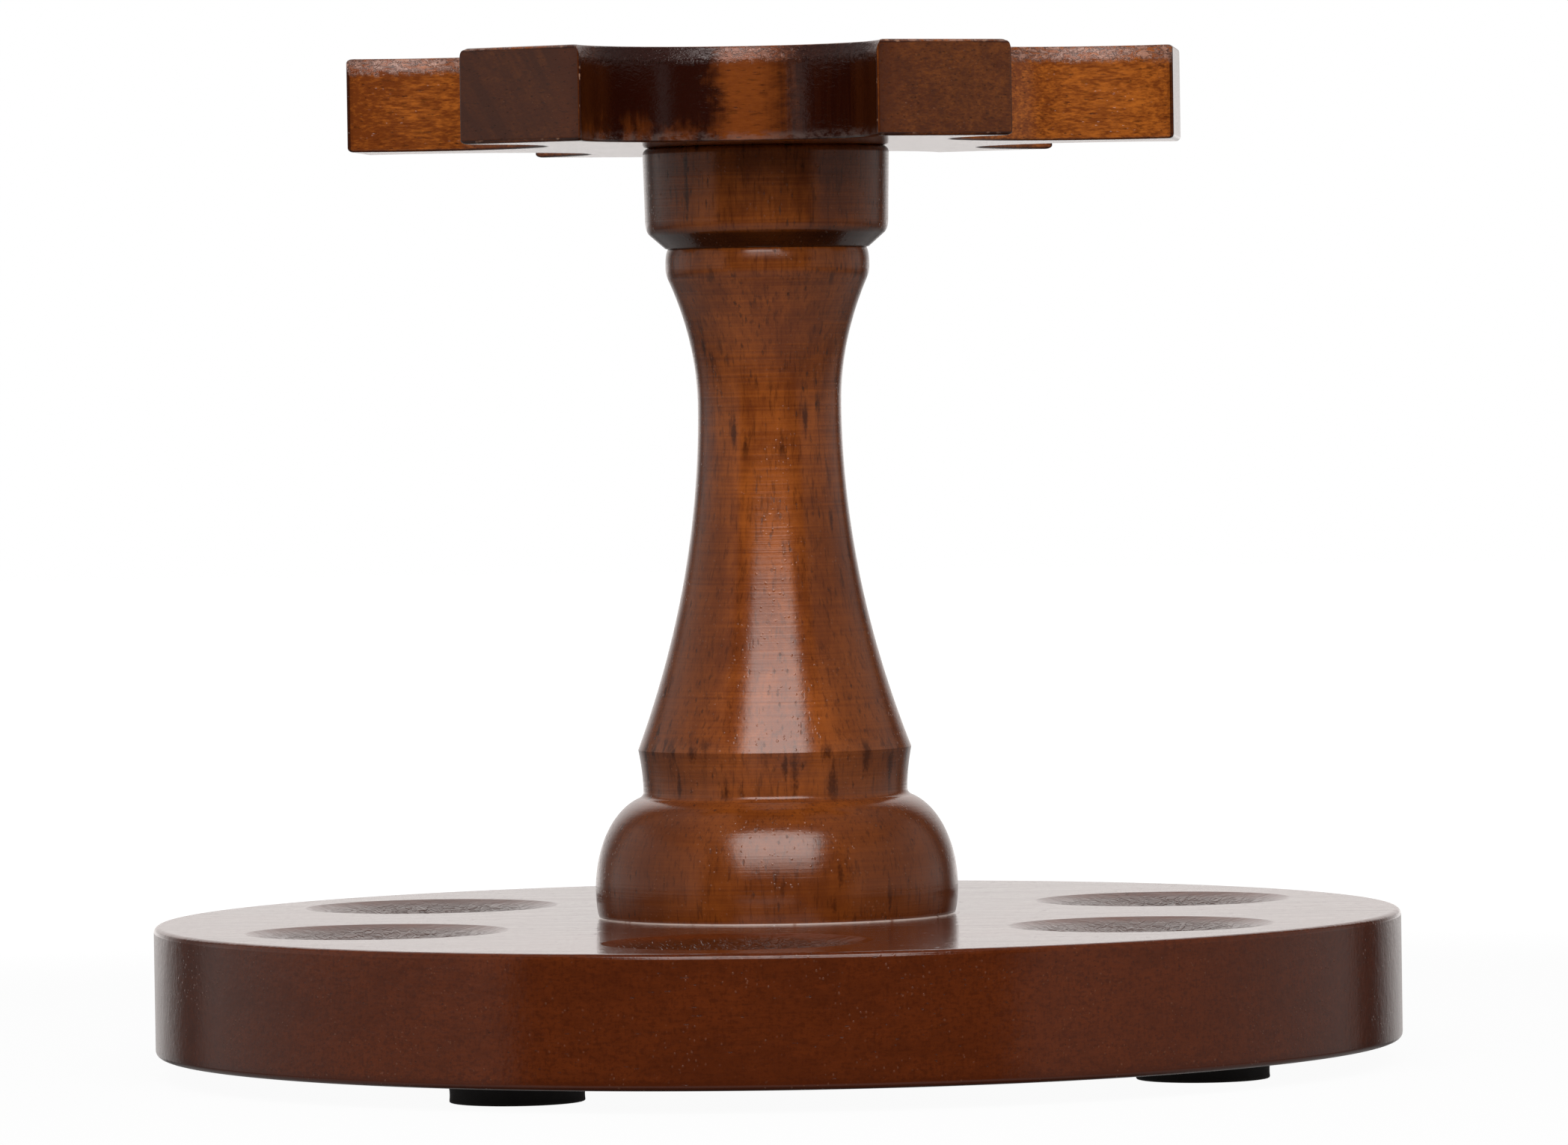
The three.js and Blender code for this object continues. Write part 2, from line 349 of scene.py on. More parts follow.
def base_finish():
    """Stain and lacquer of the base: a mottled board, with wrinkles where the lacquer pooled."""
    material, nodes = finish_nodes("red_brown_stained_base")
    place = place_in_mm(nodes)
    facing = facing_way(nodes)
    end_grain = axis_of(facing, "X").size().fade(0.45, 1.0)
    blotches = place.noise((0.03, 0.04, 0.10), detail=3, roughness=0.6)
    mottle = place.noise((0.30, 0.45, 0.60), detail=5, roughness=0.75)
    fibres = place.noise((0.12, 2.6, 3.2), detail=4, roughness=0.7)
    speckle = place.noise((1.7, 1.7, 2.2), detail=2, roughness=0.7)
    weave = place.noise((0.7, 0.7, 3.0), detail=2) * 0.5 + place.noise((3.0, 3.0, 0.7), detail=2) * 0.5
    pores = place.grains((0.16, 1.5, 1.5), 0.12)
    wood = nodes.colour(base_heart).tint(base_sap, (blotches * 0.5 + mottle * 0.5).fade(0.36, 0.66))
    wood = wood.tint(base_end_grain, end_grain * 0.15)
    wood = wood.tint(pore_and_shade_brown, fibres.fade(0.52, 0.80) * 0.35)
    wood = wood.tint(base_end_grain, (speckle * 0.5 + weave * 0.5).fade(0.46, 0.62) * 0.7)
    wood = wood.tint(pore_and_shade_brown, pores * 0.6)

    height_up = axis_of(place, "Z")
    faces_up = axis_of(facing, "Z").fade(0.3, 0.7)
    depth = base_top * 1000 - height_up
    in_recess = depth.fade(0.15, 0.9) * faces_up
    creases = place.noise((0.80, 0.62, 0.75), detail=1, roughness=0.45, distortion=0.8)
    valleys = (creases - 0.5).size().fade(0.10, 0.0)
    wrinkled = place.noise((0.07, 0.07, 0.07), detail=1).fade(0.40, 0.52)
    pooled = depth.fade(0.4, 1.5)
    wrinkles = in_recess * (0.30 + pooled * (0.35 + wrinkled * 0.40))
    streaks = place.noise((0.030, 0.12, 0.12), detail=4, roughness=0.75)
    ripples = place.noise((0.28, 0.28, 0.28), detail=2)
    peel = place.noise((1.5, 1.5, 1.1), detail=3, roughness=0.6)
    sparse = place.noise((0.16, 0.12, 0.20), detail=2).fade(0.48, 0.60)
    nibs = place.grains((1.25, 1.25, 1.25), 0.22) * sparse
    dusty = place.noise((0.05, 0.05, 0.05), detail=2).fade(0.40, 0.56) * faces_up
    dust = place.grains((0.55, 0.13, 0.31), 0.19) * dusty * (1 - in_recess)
    # Darker along the bottom edge of the rim.
    bottom_edge = (height_up - base_bottom * 1000 - speckle * 1.6).fade(0.9, 0.1)
    wood = wood.tint(base_end_grain, bottom_edge * 0.7)
    # Pale dust nibs, and a painted highlight along the ridges of the wrinkles in the recesses.
    wood = wood.tint(dust_and_sheen_pale, (nibs * 0.15).larger(creases.fade(0.52, 0.66) * wrinkles * 0.06))
    # Dark dust specks on the top, and painted shade in the recesses and along the valleys of their wrinkles.
    wood = wood.tint(pore_and_shade_brown, (dust * 0.3).larger(in_recess * 0.54).larger(valleys * wrinkles * 0.85))
    height = (ripples * 14 + streaks * (70 + faces_up * 100) + peel * (17 - faces_up * 4) + nibs * 19
              + dust * 25 + fibres * 6 - pores * 10 + (creases * 210 - valleys * 80) * wrinkles)
    roughness = 0.10 + peel * 0.06 + pores * 0.15
    lacquered(nodes, wood, roughness, height)
    return material


base_disc = ring_of_copies(base_sixth(), "stained_base_disc", recess_count, first_recess_angle,
                           crease=25, material=base_finish())
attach(base_disc, "root")
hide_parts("base_disc")


# Column. One hardwood spindle, turned in a single piece: bulb foot, neck band, waisted taper, throat
# and collar. It stands glued and screwed on the middle of the base, and its lathe marks still show
# under the lacquer. Each part of the profile below is one stroke of the turner's tool.
column_height = 0.1017
foot_tuck = 0.0006
bulb_radius = 0.0240
bulb_widest_height = 0.0038
bulb_rise = 0.0124
bulb_shoulder = 0.0015
neck_radius = 0.0175
neck_band_height = 0.0062
arris_radius = 0.0181
waist_radius = 0.0095
flare_length = 0.0174
throat_radius = 0.0135
throat_height = 0.0035
throat_round = 0.0009
throat_top_ease = 0.0022
throat_top_inset = 0.0005
collar_underside_rise = 0.0037
collar_chamfer_radius = 0.0155
collar_chamfer_rise = 0.00175
collar_radius = 0.0161
collar_splay = 0.0002
collar_height = 0.0133
collar_top_ease = 0.0009
pin_bore_radius = 0.0043
pin_bore_depth = 0.0143
column_screw_depth = 0.0385
column_sides = 160
glue_line = 0.0007

column_amber = (0.290, 0.0715, 0.0098, 1)
column_brown = (0.135, 0.0290, 0.0050, 1)
# The bulb's darker brown, also used to paint shade on the column's sides.
bulb_and_side_shade_brown = (0.088, 0.0200, 0.0036, 1)
# Dried glue, also used to paint the highlight along the column's foot.
glue_and_highlight_pale = (0.480, 0.4000, 0.3600, 1)
flame_brown = (0.040, 0.0090, 0.0023, 1)


def stroke(path, steps):
    """Points of one stroke of the profile, each with the direction that faces away from the wood.
    path gives the radius, the height and how they change, for a share of the way along it."""
    points = []
    for i in range(steps + 1):
        radius, height, across, up = path(i / steps)
        length = math.hypot(across, up)
        points.append((radius, height, up / length, -across / length))
    return points


def straight(start, end, steps=1):
    across, up = end[0] - start[0], end[1] - start[1]
    return stroke(lambda t: (start[0] + across * t, start[1] + up * t, across, up), steps)


def rounded(centre, across, up, first, last, steps):
    """Part of an ellipse, with its angles in degrees from the outward direction."""
    sweep = 1 if last > first else -1

    def path(t):
        a = math.radians(first + (last - first) * t)
        return (centre[0] + across * math.cos(a), centre[1] + up * math.sin(a),
                -across * math.sin(a) * sweep, up * math.cos(a) * sweep)

    return stroke(path, steps)


def hollowed(start, bend, end, steps):
    """A parabola that leaves its start towards the bend, and comes from the bend at its end."""

    def path(t):
        def blended(k):
            return (1 - t) ** 2 * start[k] + 2 * t * (1 - t) * bend[k] + t * t * end[k]

        def change(k):
            return (1 - t) * (bend[k] - start[k]) + t * (end[k] - bend[k])

        return blended(0), blended(1), change(0), change(1)

    return stroke(path, steps)


def column_strokes():
    bulb_reach = bulb_radius - neck_radius + bulb_shoulder
    bulb_middle = (neck_radius - bulb_shoulder, bulb_widest_height)
    neck_turn = math.degrees(math.acos(bulb_shoulder / bulb_reach))
    neck = (neck_radius, bulb_widest_height + bulb_rise * math.sin(math.radians(neck_turn)))
    arris = (arris_radius, neck[1] + neck_band_height)
    collar_bottom = column_height - collar_height
    throat = (throat_radius, collar_bottom - throat_height)
    waist = (waist_radius, throat[1] - flare_length)
    round_start = (throat_radius - throat_round / 2, throat[1] - throat_round)
    round_end = (throat_radius, throat[1] + throat_round)
    ease_start = (throat_radius, collar_bottom - throat_top_ease)
    ease_middle = (throat_radius - throat_top_inset, ease_start[1])
    ease_turn = 72
    ease_end = (ease_middle[0] + throat_top_inset * math.cos(math.radians(ease_turn)),
                ease_middle[1] + throat_top_ease * math.sin(math.radians(ease_turn)))
    chamfer_end = (collar_chamfer_radius, collar_bottom + collar_chamfer_rise)
    chamfer_out = (collar_radius - chamfer_end[0]) * collar_chamfer_rise / (chamfer_end[0] - throat_radius)
    collar_start = (collar_radius, collar_bottom + collar_underside_rise)
    shoulder = (collar_radius + collar_splay, column_height - collar_top_ease)
    collar_edge = (shoulder[0] - collar_top_ease, column_height)
    foot = bulb_radius - foot_tuck
    foot_turn = -70
    foot_end = (foot + foot_tuck * math.cos(math.radians(foot_turn)),
                bulb_widest_height * (1 + math.sin(math.radians(foot_turn))))
    shoulder_turn = neck_turn - 5
    shoulder_end = (bulb_middle[0] + bulb_reach * math.cos(math.radians(shoulder_turn)),
                    bulb_widest_height + bulb_rise * math.sin(math.radians(shoulder_turn)))
    half_up = (arris[1] + waist[1]) / 2
    return [
        straight((0, column_screw_depth), (screw_hole_radius, column_screw_depth)),
        straight((screw_hole_radius, column_screw_depth), (screw_hole_radius, 0)),
        straight((screw_hole_radius, 0), (foot + glue_line + foot_tuck * 0.2, 0)),
        hollowed((foot + glue_line + foot_tuck * 0.2, 0), (foot + foot_tuck * 0.2, 0), foot_end, 6),
        rounded((foot, bulb_widest_height), foot_tuck, bulb_widest_height, foot_turn, 0, 14),
        rounded(bulb_middle, bulb_reach, bulb_rise, 0, shoulder_turn, 40),
        hollowed(shoulder_end, (neck_radius, neck[1]), (neck_radius, neck[1] + glue_line), 6),
        hollowed((neck_radius, neck[1] + glue_line), (neck_radius, (neck[1] + arris[1]) / 2), arris, 12),
        hollowed(arris, (waist_radius, half_up), waist, 60),
        hollowed(waist, (waist_radius, (waist[1] + round_start[1]) / 2), round_start, 28),
        hollowed(round_start, throat, round_end, 10),
        straight(round_end, ease_start, 3),
        rounded(ease_middle, throat_top_inset, throat_top_ease, 0, ease_turn, 10),
        straight(ease_end, (throat_radius, collar_bottom)),
        straight((throat_radius, collar_bottom), chamfer_end, 4),
        hollowed(chamfer_end, (collar_radius, chamfer_end[1] + chamfer_out), collar_start, 14),
        straight(collar_start, shoulder, 8),
        rounded((collar_edge[0], shoulder[1]), collar_top_ease, collar_top_ease, 0, 90, 8),
        straight(collar_edge, (pin_bore_radius, column_height)),
        straight((pin_bore_radius, column_height), (pin_bore_radius, column_height - pin_bore_depth)),
        straight((pin_bore_radius, column_height - pin_bore_depth), (0, column_height - pin_bore_depth)),
    ]


def turned(name, strokes, bottom, sides, material):
    """A body turned round the axis, smooth along each stroke and creased where two strokes meet."""
    turns = [2 * math.pi * s / sides for s in range(sides)]
    points, faces, shading = [], [], []
    rings = {}

    def ring(radius, height):
        key = (round(radius, 8), round(height, 8))
        if key not in rings:
            first = len(points)
            if radius < 1e-9:
                points.append((0, 0, bottom + height))
                rings[key] = [first] * (sides + 1)
            else:
                points.extend(polar(radius, a, bottom + height) for a in turns)
                rings[key] = [first + s for s in range(sides)] + [first]
        return rings[key]

    for run in strokes:
        for low, high in zip(run, run[1:]):
            lower, upper = ring(*low[:2]), ring(*high[:2])
            for s in range(sides):
                corners = [(lower[s], low, s), (lower[s + 1], low, s + 1),
                           (upper[s + 1], high, s + 1), (upper[s], high, s)]
                if lower[s] == lower[s + 1]:
                    corners.pop(1)
                if upper[s] == upper[s + 1]:
                    corners.pop(-1)
                faces.append([corner[0] for corner in corners])
                for _, at, side in corners:
                    shading.append(polar(at[2], turns[side % sides], at[3]))
    mesh = bpy.data.meshes.new(name)
    mesh.from_pydata(points, [], faces)
    mesh.shade_smooth()
    mesh.normals_split_custom_set(shading)
    mesh.materials.append(material)
    return put_in_scene(name, mesh)


def column_finish():
    """Stain and lacquer of the column. Heights on it are in millimetres above the table."""
    material, nodes = finish_nodes("amber_stained_column")
    place = place_in_mm(nodes)
    facing = facing_way(nodes)
    height_up = axis_of(place, "Z")
    blotches = place.noise((0.10, 0.10, 0.035), detail=3, roughness=0.6)
    mottle = place.noise((0.6, 0.6, 0.25), detail=4, roughness=0.75)
    fibres = place.noise((2.2, 2.2, 0.28), detail=3, roughness=0.65)
    turned_marks = place.noise((0.05, 0.05, 1.1), detail=2, roughness=0.6)
    hairlines = place.noise((0.05, 0.05, 3.6), detail=1)
    dashed = place.noise((0.15, 0.15, 0.06), detail=1).fade(0.38, 0.54)
    pores = place.grains((1.0, 1.0, 0.30), 0.34, "MANHATTAN") * dashed
    foot = base_top * 1000
    collar_bottom = foot + (column_height - collar_height) * 1000
    band = height_up.fade(35, 37) * height_up.fade(44.5, 42.5)
    bulb = height_up.fade(39, 34)
    waist = height_up.fade(50, 85)
    slender = height_up.fade(68, 84)
    throat = height_up.fade(99, 103) * height_up.fade(109, 108)
    # Painted shade in the groove under the collar.
    under_collar_shade = (height_up.fade(collar_bottom - 0.3, collar_bottom)
                    * height_up.fade(collar_bottom + 2.8, collar_bottom + 1.5))
    flamed = place.noise((0.05, 0.05, 0.040), detail=1).fade(0.52, 0.60).larger(band).larger(throat * 0.7)
    flames = place.grains((0.52, 0.52, 0.11), 0.46, "MANHATTAN") * flamed
    flames = flames.larger(place.grains((0.34, 0.34, 0.075), 0.50, "MANHATTAN") * band)
    darker = blotches * 0.44 + mottle * 0.26 + hairlines * 0.16 + turned_marks * 0.14
    # Painted shade on the sides of the column that face along X, broken up by the blotches. The bulb is a
    # darker brown all round, with more painted shade on its sides.
    side_shade = (axis_of(facing, "X").size() + (blotches - 0.5) * 0.6).fade(0.20, 0.62)
    wood = nodes.colour(column_amber).tint(column_brown, darker.fade(0.38, 0.62))
    wood = wood.tint(bulb_and_side_shade_brown, (side_shade * (0.55 - slender * 0.40)).larger(bulb * (0.56 + side_shade * 0.20)))
    wood = wood.tint(flame_brown, fibres.fade(0.50, 0.70) * 0.50)
    # A painted sheen over the neck band.
    wood = wood.tint(dust_and_sheen_pale, band * 0.06)
    wood = wood.tint(flame_brown, flames * 0.85)
    wood = wood.tint(pore_and_shade_brown, pores * 0.62)
    wood = wood.tint(pore_and_shade_brown, under_collar_shade * 0.85)

    peel = place.noise((1.6, 1.6, 1.6), detail=3, roughness=0.6)
    contact = height_up.fade(foot + 1.5, foot + 0.3)
    # A pale bead of dried glue round the foot, partly a painted highlight along the joint.
    glue_and_highlight_bead = (height_up.fade(foot + 0.25, foot + 0.11)
            * place.noise((0.5, 0.5, 0.5), detail=3).fade(0.26, 0.44))
    sparse = place.noise((0.20, 0.20, 0.12), detail=2).fade(0.42, 0.56).larger(contact)
    nibs = place.grains((1.35, 1.35, 1.2), 0.24) * sparse
    wood = wood.tint(dust_and_sheen_pale, nibs * 0.12)
    wood = wood.tint(glue_and_highlight_pale, glue_and_highlight_bead * 0.70)
    height = (turned_marks * 17 + hairlines * (12 + waist * 4) + peel * 11 + nibs * 22 - pores * 9
              + fibres * 2 + mottle * 5)
    roughness = 0.15 + peel * 0.06 + pores * 0.15
    lacquered(nodes, wood, roughness, height)
    return material


column = turned("turned_column", column_strokes(), base_top, column_sides, column_finish())
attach(column, "root")
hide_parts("column")


# Top plate. One hardwood board with its grain from side to side, sawn to a six-armed star.
# The half-round notches between the arms are bored, then sanded by hand, so their top edges are worn
# to a slope. It sits on the collar, on a glued pin in a blind bore. End grain drinks more stain.
plate_bottom = 0.1217
plate_top = 0.1340
plate_reach = 0.0545
arm_end_width = 0.0195
arm_count = 6
first_arm_angle = -60
arm_corner_round = 0.0006
end_edge_ease = 0.0006
notch_bottom_ease = 0.0004
notch_worn_height = 0.0026
notch_worn_depth = 0.0008
pin_bore_in_plate = 0.0078

plate_amber = (0.370, 0.1020, 0.0130, 1)
plate_brown = (0.130, 0.0290, 0.0050, 1)
plate_end_grain = (0.036, 0.0088, 0.0030, 1)
notch_char = (0.016, 0.0026, 0.0010, 1)
# A grey that paints sheen on the plate.
painted_sheen_grey = (0.380, 0.2800, 0.2450, 1)


def arm_outline(end_inset, end_height, notch_inset, notch_height):
    """Half of an arm's outline, from the middle of its end to the bottom of the notch beside it.
    The end's face and the notch's wall each lie in by their own inset, at their own height."""
    half_step = math.pi / arm_count
    half_end = arm_end_width / 2
    centre_reach = plate_reach * math.cos(half_step) + half_end * math.sin(half_step)
    radius = plate_reach * math.sin(half_step) - half_end * math.cos(half_step) + notch_inset
    centre = Vector((centre_reach * math.cos(half_step), centre_reach * math.sin(half_step)))
    end_x = plate_reach - end_inset
    corner = Vector((end_x, centre.y - math.sqrt(radius ** 2 - (end_x - centre.x) ** 2)))
    trim = arm_corner_round
    corner_turn = math.atan2(corner.y - centre.y, corner.x - centre.x)
    wall_start = corner_turn - trim / radius
    wall_end = half_step - math.pi
    last_on_end = Vector((end_x, corner.y - trim))
    first_on_wall = centre + radius * Vector((math.cos(wall_start), math.sin(wall_start)))
    outline = [(end_x, last_on_end.y * i / 4, end_height) for i in range(5)]
    for i in range(1, 21):
        t = i / 20
        at = last_on_end * (1 - t) ** 2 + corner * 2 * t * (1 - t) + first_on_wall * t * t
        share = t * t * (3 - 2 * t)
        outline.append((at.x, at.y, end_height + (notch_height - end_height) * share))
    for i in range(1, 37):
        turn = wall_start + (wall_end - wall_start) * i / 36
        outline.append((centre.x + radius * math.cos(turn), centre.y + radius * math.sin(turn), notch_height))
    return outline


def whole_arm(half):
    return [(x, -y, z) for x, y, z in reversed(half[1:])] + half


def plate_sixth():
    """One arm, out to the bottoms of the two notches beside it and in to the axis."""
    half_step = math.pi / arm_count
    end_top = quarter_round(end_edge_ease, 12)
    slope_start = (notch_worn_depth * 0.16, notch_worn_height * 0.55)
    slope_end = (notch_worn_depth * 0.52, notch_worn_height * 0.16)
    notch_top = []
    for i in range(6):
        t = i / 5
        notch_top.append((t * t * slope_start[0],
                          notch_worn_height + (slope_start[1] - notch_worn_height) * t))
    for i in range(7):
        t = i / 6
        inset = ((1 - t) ** 2 * slope_end[0] + 2 * t * (1 - t) * notch_worn_depth * 0.66
                 + t * t * notch_worn_depth)
        notch_top.append((inset, (1 - t) ** 2 * slope_end[1]))
    end_low = quarter_round(end_edge_ease, 6)
    notch_low = quarter_round(notch_bottom_ease, 6)
    rows = [whole_arm(arm_outline(e[0], plate_top - e[1], n[0], plate_top - n[1]))
            for e, n in zip(reversed(end_top), reversed(notch_top), strict=True)]
    rows += [whole_arm(arm_outline(e[0], plate_bottom + e[1], n[0], plate_bottom + n[1]))
             for e, n in zip(end_low, notch_low)]
    skin = Skin()
    skin.strip(rows)
    skin.flat([(0, 0, plate_top)] + rows[0])
    bore = [-half_step + 2 * half_step * i / 8 for i in range(9)]
    ceiling = plate_bottom + pin_bore_in_plate
    skin.flat(list(reversed(rows[-1])) + [polar(pin_bore_radius, a, plate_bottom) for a in bore])
    skin.strip([[polar(pin_bore_radius, a, h) for a in bore] for h in (plate_bottom, ceiling)])
    skin.flat([(0, 0, ceiling)] + [polar(pin_bore_radius, a, ceiling) for a in reversed(bore)])
    return skin.mesh("plate_sixth")


def plate_finish():
    """Stain and lacquer of the plate: worn and cracked along the notches' tops, and charred in the
    front notch on both sides of a bare middle."""
    material, nodes = finish_nodes("amber_stained_plate")
    place = place_in_mm(nodes)
    facing = facing_way(nodes)
    faces_side = axis_of(facing, "X").size()
    sideways = axis_of(place, "X")
    height_up = axis_of(place, "Z")
    above_bottom = height_up - plate_bottom * 1000
    level = place.scaled((1, 1, 0))
    distance = level.vector("LENGTH", output="Value")
    turned_out = level.vector("NORMALIZE").along(facing)
    upright = axis_of(facing, "Z").size().fade(0.95, 0.80)
    on_wall = turned_out.fade(0.95, 0.80).larger(distance.fade(52, 48)) * upright
    end_grain = faces_side.fade(0.12, 0.45) * (1 - on_wall)
    front_notch = sideways.size().fade(24, 16) * axis_of(place, "Y").fade(-20, -28) * upright
    blotches = place.noise((0.05, 0.08, 0.16), detail=3, roughness=0.6)
    fibres = place.noise((0.60, 3.0, 3.6), detail=2, roughness=0.65)
    mottle = place.noise((0.35, 0.7, 0.9), detail=4, roughness=0.7)
    flecks = place.noise((0.50, 1.6, 2.8), detail=2).fade(0.60, 0.70)
    pores = place.grains((0.30, 1.6, 1.8), 0.20)
    streaks = place.noise((1.6, 1.6, 0.08), detail=3, roughness=0.7)
    slanted = nodes.node("ShaderNodeVectorRotate", {}, {
        "Vector": place, "Axis": (0.5, 0.866, 0), "Angle": math.radians(35)})
    figure = slanted.noise((0.5, 0.5, 0.07), detail=3, roughness=0.6).fade(0.40, 0.62)
    threads = place.noise((1.4, 1.4, 2.4), detail=3, roughness=0.7)
    darker = blotches * 0.26 + fibres * 0.38 + mottle * 0.36 + sideways.fade(35, -55) * 0.06
    wood = nodes.colour(plate_amber).tint(plate_brown, darker.fade(0.36, 0.62))
    stain_taken = 0.84 + figure * 0.10 + threads * 0.08 - sideways.fade(-5, 5) * 0.17
    wood = wood.tint(plate_end_grain, end_grain * stain_taken)
    wood = wood.tint(plate_brown, front_notch * 0.84)
    smudges = place.noise((0.16, 0.16, 0.22), detail=3, roughness=0.6)
    left_part = (sideways + (smudges - 0.5) * 14 + (streaks - 0.5) * 4).fade(1.5, -4)
    low_part = (above_bottom + streaks * 3).fade(6.0, 2.5)
    licks = place.noise((0.30, 0.30, 0.18), detail=4, roughness=0.6).fade(0.42, 0.62)
    off_middle = faces_side + (mottle - 0.5) * 0.25 + (streaks - 0.5) * 0.12
    charred = off_middle.fade(0.06, 0.45) * (1 - left_part) * (0.86 + streaks * 0.24)
    charred = charred.larger(off_middle.fade(0.04, 0.20) * left_part * (1 - low_part * licks * 0.55))
    wood = wood.tint(notch_char, front_notch * charred)
    wood = wood.tint(pore_and_shade_brown, (flecks * 0.40).larger(pores * 0.6))

    reach = plate_reach * 1000
    corner = (distance.fade(reach - 0.2, reach + 0.3) * turned_out.fade(0.985, 0.965)
              * turned_out.fade(-0.34, -0.20))
    wood = wood.tint(notch_char, corner * 0.85)
    beads = (place.grains((1.0, 1.0, 1.1), 0.38) * corner * turned_out.fade(0.97, 0.90)
             * sideways.size().fade(36, 30))

    peel = place.noise((1.4, 1.4, 1.4), detail=3, roughness=0.6)
    wrinkles = place.noise((0.8, 0.8, 1.7), detail=3, roughness=0.65, distortion=0.6)
    sparse = place.noise((0.25, 0.25, 0.40), detail=2).fade(0.48, 0.60)
    nibs = place.grains((0.90, 1.5, 2.1), 0.22) * sparse * (1 - front_notch)
    band_edge = (plate_top - notch_worn_height) * 1000 + 0.5 + (streaks + mottle - 1) * 1.6
    worn = (height_up - band_edge).fade(-0.3, 0.6) * on_wall
    cracks = (wrinkles - 0.5).size().fade(0.050, 0.0)
    in_char = front_notch * charred
    # Painted sheen on the worn tops of the notch walls, outside the char.
    painted_sheen = worn * wrinkles.fade(0.36, 0.56) * (1 - in_char) * (0.32 - front_notch * 0.20)
    wood = wood.tint(plate_brown, worn * (1 - in_char) * 0.45)
    # Painted sheen along the bottom of the front notch's walls.
    low_edge_sheen = (above_bottom - streaks * 0.6).fade(1.3, 0.3) * front_notch * on_wall
    wood = wood.tint(painted_sheen_grey, painted_sheen.larger(low_edge_sheen * mottle.fade(0.40, 0.60) * 0.12))
    wood = wood.tint(notch_char, cracks * worn * 0.85)
    wood = wood.tint(dust_and_sheen_pale, (nibs * 0.12).larger(beads * 0.85))
    # Darker along the bottom edge of the walls.
    bottom_edge = (above_bottom - streaks * 0.3).fade(0.15, 0.0)
    wood = wood.tint(notch_char, bottom_edge * on_wall * 0.6)
    height = (peel * 11 + fibres * 6 + nibs * 21 + beads * 40 - pores * 7 + mottle * 9
              + wrinkles * (6 + 150 * worn + 30 * in_char + 60 * worn * in_char) - cracks * worn * 12
              + threads * end_grain * 8)
    roughness = 0.11 + peel * 0.06 + worn * 0.18
    lacquered(nodes, wood, roughness, height)
    return material


top_plate = ring_of_copies(plate_sixth(), "stained_top_plate", arm_count, first_arm_angle,
                           crease=13, material=plate_finish())
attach(top_plate, "root")
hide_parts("top_plate")


# Hidden fixings. A plain hardwood pin is glued into the column and the plate. From below, one zinced
# wood screw with a washer under its head holds the column to the base. These are the solids of the
# frame as they stand, with the finish that each one really has.
bare_wood_pale = (0.560, 0.400, 0.225, 1)
bare_wood_dark = (0.380, 0.235, 0.110, 1)
zinc_bright = (0.560, 0.560, 0.530, 1)
zinc_dull = (0.380, 0.385, 0.370, 1)


def bare_wood_finish():
    material, nodes = finish_nodes("bare_hardwood")
    place = place_in_mm(nodes)
    fibres = place.noise((3.0, 3.0, 0.15), detail=4, roughness=0.7)
    pores = place.grains((1.7, 1.7, 0.22), 0.14)
    wood = nodes.colour(bare_wood_pale).tint(bare_wood_dark, fibres.fade(0.40, 0.72) * 0.7)
    wood = wood.tint(bare_wood_dark, pores * 0.8)
    lacquered(nodes, wood, 0.62 + fibres * 0.15, fibres * 14 - pores * 10)
    return material


def zinc_finish():
    material, nodes = finish_nodes("zinced_steel")
    place = place_in_mm(nodes)
    patches = place.noise((0.9, 0.9, 0.9), detail=4, roughness=0.65)
    grain = place.noise((6, 6, 6), detail=2)
    relief = nodes.node("ShaderNodeBump", {}, {"Strength": 1, "Distance": 1e-6, "Height": grain * 3})
    surface = nodes.node("ShaderNodeBsdfPrincipled", {}, {
        "Base Color": nodes.colour(zinc_bright).tint(zinc_dull, patches.fade(0.35, 0.65)),
        "Metallic": 1, "Roughness": 0.26 + patches * 0.2, "Normal": relief})
    nodes.node("ShaderNodeOutputMaterial", {}, {"Surface": surface})
    return material


def refinish(material, *names):
    """Puts a finish on solids that stay as they are in the frame."""
    for name in names:
        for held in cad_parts[name].material_slots:
            held.material = material


refinish(bare_wood_finish(), "plate_dowel")
refinish(zinc_finish(), "column_screw", "column_screw_washer")


# Feet. Four discs of black rubber under the base, moulded a little narrower below their glued faces.
# Each is stuck on with a thin disc of clear double-sided adhesive.
pad_count = 4
first_pad_angle = -116.25
pad_radius = 0.0088
pad_height = 0.0026
pad_waist_pinch = 0.0003
pad_foot_tuck = 0.00015
pad_edge_ease = 0.0002
pad_ring_radius = 0.0640
pad_sides = 48

rubber_black = (0.0042, 0.0026, 0.0021, 1)
rubber_worn = (0.0120, 0.0085, 0.0070, 1)
adhesive_film = (0.300, 0.285, 0.250, 1)
adhesive_edge = (0.190, 0.178, 0.150, 1)


def one_pad():
    foot = pad_radius - pad_foot_tuck
    pinch = pad_radius - pad_waist_pinch
    section = [(0, pad_height), (pad_radius - pad_edge_ease, pad_height)]
    section += [(pad_radius - i, pad_height - d) for i, d in reversed(quarter_round(pad_edge_ease, 4))][1:]
    side_top, side_low = pad_height - pad_edge_ease, pad_edge_ease
    for i in range(1, 8):
        t = i / 8
        radius = pad_radius * (1 - t) ** 2 + 2 * t * (1 - t) * pinch + foot * t * t
        section.append((radius, side_top + (side_low - side_top) * t))
    section += [(foot - i, d) for i, d in quarter_round(pad_edge_ease, 4)]
    section.append((0, 0))
    turns = [2 * math.pi * s / pad_sides for s in range(pad_sides + 1)]
    skin = Skin()
    skin.strip([[(pad_ring_radius + r * math.cos(a), r * math.sin(a), h) for a in turns]
                for r, h in section])
    return skin.mesh("one_pad")


